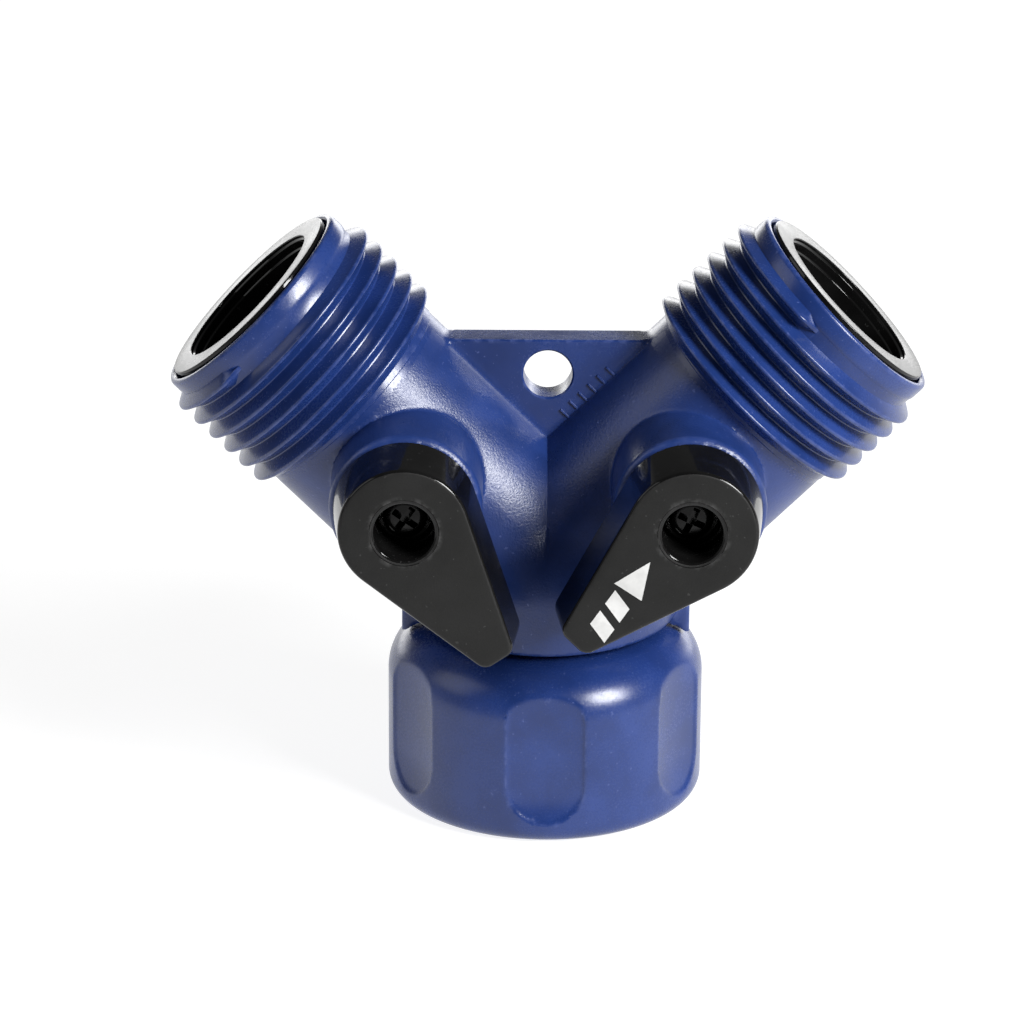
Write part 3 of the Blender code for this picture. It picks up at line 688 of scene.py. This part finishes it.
def build_body():
    """The blue body. Its grid straddles the plane of symmetry, so the crease between the arms stays sharp."""
    step = BODY_GRID
    low = (-round(34 / step) * step - step / 2, -round(20.3 / step) * step, 16.2)
    net = surface_net(body_field, low, (34.3, 14.2, 54.2), step)
    body = make_object("body_shell", net)
    joins = [tail()] + web_ribs()
    for side in SIDES:
        end = make_object("arm_end", arm_end())
        ridge = thread_ridge(MALE_MINOR, MALE_MAJOR, THREAD_FIRST, THREAD_LAST - PITCH / 12, *MALE_FADE)
        combine(end, [ridge], "UNION")
        bm = bmesh.new()
        bm.from_mesh(end.data)
        bpy.data.objects.remove(end)
        joins.append(moved(bm, on_arm(side)))
    combine(body, joins, "UNION")
    inlet = turned([(0, TAIL_BOTTOM - 1), (TAIL_BORE, TAIL_BOTTOM - 1), (TAIL_BORE, APEX_Z), (0, APEX_Z)])
    cuts = [inlet, hang_hole()]
    for side in SIDES:
        cuts += [moved(arm_bore(), on_arm(side)), moved(stem_bore(), on_stem(side))]
    combine(body, cuts, "DIFFERENCE")
    finish_piece(body, "body_shell", (blue_grained, blue_smooth), "root", ("body",))
    for face in body.data.polygons:
        x, y, z = face.center / MM
        along = (abs(x) + z - APEX_Z) * math.sin(ARM_ANGLE)
        on_web = abs(y - AXIS_Y) < WEB_HALF + RIB_HEIGHT + 0.08 and z > 41
        face.material_index = int(along > SMOOTH_FROM or on_web)


def mark_edges(mesh):
    """Store how sharply the surface turns outwards at each vertex, from 0 to 1, for the wear along edges."""
    bm = bmesh.new()
    bm.from_mesh(mesh)
    turns = [max((e.calc_face_angle_signed(0) for e in v.link_edges), default=0) for v in bm.verts]
    bm.free()
    edge = mesh.attributes.new("edge", "FLOAT", "POINT")
    low, high = EDGE_TURNS
    edge.data.foreach_set("value", np.clip((np.array(turns) - low) / (high - low), 0, 1))


def finish_piece(obj, name, materials, body, replaced=(), sharp=SHARP_ANGLE):
    """Place a finished piece in the frame, and say what it is."""
    mark_edges(obj.data)
    obj.name = name
    obj.data.name = name
    obj.data.materials.clear()
    for mat in materials:
        obj.data.materials.append(mat)
    obj.data.shade_smooth()
    obj.data.set_sharp_from_angle(angle=sharp)
    to_frame(obj)
    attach(obj, body)
    if replaced:
        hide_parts(*replaced)
    return obj


# ---------------------------------------------------------------- nut


def nut_cavity():
    """The nut's inside: the mouth, the thread's root, the washer, the clip and the bore round the tail."""
    bevel = 0.4
    past = NUT_TOP + 2
    profile = [(0, -1), (NUT_MOUTH, -1), (FEMALE_MAJOR, 0.6), (FEMALE_MAJOR, NUT_THREAD_END - 0.5)]
    profile += [(NUT_WASHER_ROOM, NUT_THREAD_END), (NUT_WASHER_ROOM, TAIL_BOTTOM)]
    profile += [(NUT_CLIP_ROOM, TAIL_BOTTOM), (NUT_CLIP_ROOM, GROOVE_HIGH), (NUT_TOP_BORE, GROOVE_HIGH)]
    profile += [(NUT_TOP_BORE, NUT_TOP - 0.25), (NUT_TOP_BORE + bevel, NUT_TOP + 0.15)]
    profile += [(NUT_TOP_BORE + bevel, past), (0, past)]
    return turned(profile, 144)


def build_nut():
    step = NUT_GRID
    reach = round(18 / step) * step + step / 2
    net = surface_net(nut_field, (-reach, -reach, -1), (reach, reach, 20.2), step)
    nut = make_object("nut_shell", net)
    combine(nut, [nut_cavity()], "DIFFERENCE")
    ridge = thread_ridge(FEMALE_MAJOR, FEMALE_MINOR, NUT_THREAD_FIRST, NUT_THREAD_LAST, *NUT_FADE)
    combine(nut, [ridge], "UNION")
    finish_piece(nut, "nut_shell", (blue_nut,), "nut", ("swivel_nut",))


# ---------------------------------------------------------------- sleeves, balls, screws, rings


def build_sleeve(side):
    """The black sleeve in an outlet: a stepped rim round the bore, then a funnel down to the waterway."""
    step = SLEEVE_FACE - SLEEVE_STEP_DEPTH
    rim, rim_step = SLEEVE_MOUTH + SLEEVE_RIM, SLEEVE_MOUTH + SLEEVE_RIM_STEP
    profile = [(SLEEVE_MOUTH, step), (SLEEVE_STEP, step), (SLEEVE_STEP, SLEEVE_FACE - SLEEVE_FUNNEL_DEPTH)]
    profile += [(WATERWAY_RADIUS, SLEEVE_END + 2), (WATERWAY_RADIUS, SLEEVE_END)]
    profile += [(CHAMBER_RADIUS - GAP, SLEEVE_END), (CHAMBER_RADIUS - GAP, SLEEVE_SEAT + GAP)]
    profile += [(SLEEVE_FLANGE_RADIUS, SLEEVE_SEAT + GAP), (SLEEVE_FLANGE_RADIUS, SLEEVE_FACE)]
    profile += [(rim, SLEEVE_FACE), (rim, SLEEVE_FACE - 0.35), (rim_step, SLEEVE_FACE - 0.5)]
    profile += [(rim_step, SLEEVE_FACE - 1.3), (SLEEVE_MOUTH, SLEEVE_FACE - 1.45)]
    rounds = {0: 0.12, 1: 0.2, 2: 0.2, 8: 0.14, 9: 0.12, 11: 0.06, 13: 0.06}
    sleeve = make_object("sleeve", moved(turned(softened(profile, rounds), 160), on_arm(side)))
    materials = (black_gloss, black_ring)
    finish_piece(sleeve, f"{side}_sleeve", materials, "root", (f"{side}_outlet_sleeve",))
    outwards = on_arm(side).to_3x3() @ Vector((0, 0, 1))
    for face in sleeve.data.polygons:
        face.material_index = int(face.normal.dot(outwards) > 0.9)


def build_ball(side):
    """A chrome ball bored along the lever's length, with a slot across it for the stem's tang."""
    edge = math.degrees(math.acos(BALL_BORE / BALL_RADIUS))
    steps = 40
    profile = softened(arc((0, 0), BALL_RADIUS, -edge, edge, steps), {0: BALL_EDGE, steps: BALL_EDGE})
    place = on_stem(side) @ Matrix.Rotation(math.radians(90), 4, "X")
    ball = make_object("ball", moved(turned(profile, 96), place))
    depth = 4
    slot = bmesh.new()
    bmesh.ops.create_cube(slot, size=1)
    bmesh.ops.scale(slot, vec=(3 * BALL_RADIUS, BALL_SLOT_WIDTH, depth), verts=slot.verts)
    slot = moved(slot, on_stem(side) @ Matrix.Translation((0, 0, BALL_SLOT_FLOOR + depth / 2)))
    combine(ball, [slot], "DIFFERENCE")
    finish_piece(ball, f"{side}_ball", (plated,), f"{side}_valve", (f"{side}_valve_ball",))


def build_screw(side):
    """A black round-head screw with a cross recess that narrows towards its floor."""
    roll = SCREW_HEAD_ROLL
    profile = [(0, SCREW_TIP), (SCREW_RADIUS, SCREW_TIP + 0.5), (SCREW_RADIUS, SCREW_HEAD_LOW)]
    profile += [(SCREW_HEAD_RADIUS, SCREW_HEAD_LOW), (SCREW_HEAD_RADIUS, SCREW_HEAD_LOW + 0.5)]
    profile += arc((SCREW_HEAD_RADIUS - roll, SCREW_HEAD_HIGH - roll), roll, 0, 90, 8)[1:]
    profile += [(0, SCREW_HEAD_HIGH + 0.06)]
    screw = make_object("screw", moved(turned(profile, 72), on_stem(side)))
    cuts = []
    for quarter in (0, 90):
        slot = bmesh.new()
        bmesh.ops.create_cube(slot, size=1)
        for vert in slot.verts:
            deep = vert.co.z < 0
            vert.co.x *= 1.5 if deep else 3.4
            vert.co.y *= 0.5 if deep else 0.8
            vert.co.z = SCREW_HEAD_HIGH - 1.1 if deep else SCREW_HEAD_HIGH + 0.4
        turn = Matrix.Rotation(math.radians(quarter + SCREW_TURN), 4, "Z")
        cuts.append(moved(slot, on_stem(side) @ turn))
    combine(screw, cuts, "DIFFERENCE")
    body, replaced = f"{side}_valve", (f"{side}_handle_screw",)
    finish_piece(screw, f"{side}_screw", (screw_black,), body, replaced)


# ---------------------------------------------------------------- levers


def lever_outline(grow, depth):
    """The taut outline round the hub and the two tip circles, each grown by the same amount."""
    circles = [(0, 0, HUB_RADIUS)]
    circles += [(side * TIP_SPREAD, -TIP_REACH, TIP_CORNER) for side in (-1, 1)]
    points = []
    for i in range(OUTLINE_POINTS):
        angle = TAU * (i + 0.5) / OUTLINE_POINTS
        nx, ny = math.cos(angle), math.sin(angle)
        x, y, radius = max(circles, key=lambda c: c[0] * nx + c[1] * ny + c[2])
        points.append((x + (radius + grow) * nx, y + (radius + grow) * ny, depth))
    return points


def ring(radius, depth):
    angles = [TAU * (i + 0.5) / OUTLINE_POINTS for i in range(OUTLINE_POINTS)]
    return [(radius * math.cos(a), radius * math.sin(a), depth) for a in angles]


def build_lever(side):
    """A lever from the floor of its hole, out over the hole's rim, across the face and down its walls to the
    spigot in the boss. Extra rings keep the wear along an edge from spreading over a long wall."""
    profile = [(SCREW_HOLE, HANDLE_FLOOR), (HANDLE_HOLE - 0.3, HANDLE_FLOOR)]
    profile += [(HANDLE_HOLE, HANDLE_FLOOR + 0.3), (HANDLE_HOLE, LEVER_FACE - 0.35)]
    profile += [(HANDLE_HOLE + 0.06, LEVER_FACE - 0.22), (HANDLE_HOLE + 0.24, LEVER_FACE - 0.10)]
    profile += [(HANDLE_HOLE + 0.44, LEVER_FACE - 0.06), (HANDLE_HOLE + 0.50, LEVER_FACE)]
    profile += [(HANDLE_HOLE + 1.0, LEVER_FACE)]
    sections = [ring(radius, depth) for radius, depth in profile]
    sections += [lever_outline(-1.1, LEVER_FACE)]
    for step in range(7):
        a = math.radians(90 * step / 6)
        drop = LEVER_EDGE * (1 - math.cos(a))
        grow = LEVER_EDGE * (math.sin(a) - 1) + LEVER_DRAFT * LEVER_EDGE / (LEVER_FACE - LEVER_BACK)
        sections.append(lever_outline(grow, LEVER_FACE - drop))
    sections += [lever_outline(0.12, LEVER_FACE - 1.0), lever_outline(LEVER_DRAFT - 0.05, LEVER_BACK + 0.6)]
    sections += [lever_outline(LEVER_DRAFT, LEVER_BACK + 0.15), lever_outline(LEVER_DRAFT - 0.15, LEVER_BACK)]
    spigot = [(LEVER_SPIGOT, LEVER_BACK), (LEVER_SPIGOT, LEVER_SPIGOT_END)]
    spigot += [(LEVER_SQUARE_ROOM, LEVER_SPIGOT_END), (LEVER_SQUARE_ROOM, HANDLE_WEB_LOW)]
    spigot += [(SCREW_HOLE, HANDLE_WEB_LOW)]
    sections += [ring(radius, depth) for radius, depth in spigot]
    bm = moved(loft(sections, closed=True), on_stem(side))
    lever = make_object("lever", bm)
    materials, body = (black_gloss, black_satin), f"{side}_valve"
    replaced = (f"{side}_lever",)
    finish_piece(lever, f"{side}_handle", materials, body, replaced, LEVER_SHARP_ANGLE)
    for face in lever.data.polygons:
        face.material_index = int(face.normal.y < -0.85 and face.center.y < (AXIS_Y - LEVER_FACE + 0.3) * MM)


def print_shape(points, matrix):
    """One flat printed mark standing a hair proud of the lever's face."""
    layers = [[(x, y, LEVER_FACE + z) for x, y in points] for z in (-0.03, 0.02)]
    return moved(loft(layers), matrix)


def build_flow_mark(side):
    """A plain white arrow made of two bars and a head, pointing from the tip towards the outlet."""
    lean, half = MARK_LEAN, MARK_HALF_HEIGHT
    shapes = []
    for low, high in ((-4.6, -2.8), (-1.9, -0.1)):
        shapes.append([(low - lean, -half), (high - lean, -half), (high + lean, half), (low + lean, half)])
    shapes.append([(0.9, -half - 0.5), (4.9, 0), (0.9, half + 0.5)])
    turn = on_stem(side) @ Matrix.Translation((0, -MARK_REACH, 0)) @ Matrix.Rotation(MARK_TURN, 4, "Z")
    mark = bmesh.new()
    for points in shapes:
        part = bpy.data.meshes.new("part")
        bm = print_shape(points, turn)
        bm.to_mesh(part)
        bm.free()
        mark.from_mesh(part)
    obj = make_object("flow_mark", mark)
    finish_piece(obj, f"{side}_flow_mark", (print_white,), f"{side}_valve")


# ---------------------------------------------------------------- build


build_body()
build_nut()
for side in SIDES:
    build_sleeve(side)
    build_ball(side)
    build_screw(side)
    build_lever(side)
build_flow_mark("right")

# The CAD's own meshes stay in view for these nodes, with a new material.
valve_nodes = {"outer_seat": seat_white, "inner_seat": seat_white, "stem": black_gloss}
valve_nodes |= {"stem_o_ring": rubber, "thrust_washer": seat_white}
kept_nodes = {f"{side}_{name}": mat for side in SIDES for name, mat in valve_nodes.items()}
kept_nodes |= {"inlet_washer": rubber, "retaining_clip": steel}
for name, mat in kept_nodes.items():
    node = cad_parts[name]
    node.data.materials.clear()
    node.data.materials.append(mat)


# ---------------------------------------------------------------- stage, light and camera

FLOOR_DROP = 0.05 * MM
FLOOR_GREY = (0.30, 0.30, 0.30)
FLOOR_FADE = (-0.13, -0.055)
FLOOR_GLOW = (0.08, 0.86)
WORLD_GLOW = ((0.08, 0.58), (0.34, 0.09))  # height of a direction, light from it
KEY_PLACE, KEY_SIZE, KEY_POWER = (0.40, -0.34, 0.33), (0.22, 0.22), 5.8
BACK_PLACE, BACK_SIZE, BACK_POWER = (0.0, 0.9, 0.08), (1.6, 0.28), 4.5
FILL_PLACE, FILL_SIZE, FILL_POWER = (-0.49, -0.09, 0.36), (0.35, 0.35), 0.52
LENS = 163.93
SENSOR = 36.0
CAMERA_PLACE = (-0.003781, -0.463485, 0.208177)
CAMERA_AIM = (0.00016, 0.935456, -0.353444)
CAMERA_ROLL = math.radians(0.353)


def build_floor():
    """A white floor that glows behind and under the object, and is darker in front of it."""
    bm = bmesh.new()
    bmesh.ops.create_grid(bm, x_segments=1, y_segments=1, size=3.0)
    mesh = bpy.data.meshes.new("floor")
    bm.to_mesh(mesh)
    bm.free()
    floor = bpy.data.objects.new("floor", mesh)
    floor.location.z = -FLOOR_DROP
    bpy.context.scene.collection.objects.link(floor)
    mat = material("floor_white", FLOOR_GREY, 0.9)
    shader = mat.node_tree.nodes["Principled BSDF"]
    shader.inputs["Emission Color"].default_value = (1, 1, 1, 1)
    darker, lighter = (tuple(c * k for c in FLOOR_GREY) for k in (0.983, 1.017))
    tone = mix_colour(mat, noise(mat, 30.0), darker, lighter)
    where = mat.node_tree.nodes.new("ShaderNodeTexCoord")
    split = mat.node_tree.nodes.new("ShaderNodeSeparateXYZ")
    mat.node_tree.links.new(where.outputs["Object"], split.inputs["Vector"])
    glow = remap(mat, split.outputs["Y"], *FLOOR_FADE, *FLOOR_GLOW)
    wire(mat, base_color=tone, emission_strength=glow)
    mesh.materials.append(mat)


def area_light(name, location, target, size, power):
    """A rectangular softbox that faces its target."""
    light = bpy.data.lights.new(name, "AREA")
    light.shape = "RECTANGLE"
    light.size, light.size_y = size
    light.energy = power
    obj = bpy.data.objects.new(name, light)
    obj.location = location
    obj.rotation_euler = (Vector(target) - Vector(location)).to_track_quat("-Z", "Y").to_euler()
    bpy.context.scene.collection.objects.link(obj)


def build_camera():
    """A long lens half a metre in front of the object, looking 21 degrees down at it with a slight roll."""
    camera = bpy.data.cameras.new("camera")
    camera.lens = LENS
    camera.sensor_width = SENSOR
    obj = bpy.data.objects.new("camera", camera)
    bpy.context.scene.collection.objects.link(obj)
    obj.location = CAMERA_PLACE
    aim = Vector(CAMERA_AIM).to_track_quat("-Z", "Y")
    obj.rotation_mode = "QUATERNION"
    obj.rotation_quaternion = aim @ Quaternion((0, 0, 1), CAMERA_ROLL)
    bpy.context.scene.camera = obj


def build_world():
    """A studio that is bright near the horizon, dark overhead and dimmer towards the front."""
    world = bpy.data.worlds.new("studio")
    world.use_nodes = True
    nodes, links = world.node_tree.nodes, world.node_tree.links
    background = nodes["Background"]
    background.inputs["Color"].default_value = (1, 1, 1, 1)
    where = nodes.new("ShaderNodeTexCoord")
    split = nodes.new("ShaderNodeSeparateXYZ")
    ramp = nodes.new("ShaderNodeValToRGB")
    links.new(where.outputs["Generated"], split.inputs["Vector"])
    links.new(split.outputs["Z"], ramp.inputs["Fac"])
    front = nodes.new("ShaderNodeMapRange")
    for name, number in zip(RANGE_SOCKETS, (-0.9, 0.1, 0.35, 1.0)):
        front.inputs[name].default_value = number
    strength = nodes.new("ShaderNodeMath")
    strength.operation = "MULTIPLY"
    links.new(split.outputs["Y"], front.inputs["Value"])
    links.new(ramp.outputs["Color"], strength.inputs[0])
    links.new(front.outputs["Result"], strength.inputs[1])
    links.new(strength.outputs["Value"], background.inputs["Strength"])
    low, high = ramp.color_ramp.elements
    for element, (height, glow) in zip((low, high), WORLD_GLOW):
        element.position, element.color = height, (glow, glow, glow, 1)
    bpy.context.scene.world = world


build_floor()
build_world()
area_light("key", KEY_PLACE, (0, 0, 0.035), KEY_SIZE, KEY_POWER)
area_light("back", BACK_PLACE, (0, 0, 0.05), BACK_SIZE, BACK_POWER)
area_light("fill", FILL_PLACE, (0, 0, 0.04), FILL_SIZE, FILL_POWER)
build_camera()
bpy.context.scene.view_settings.view_transform = "Standard"
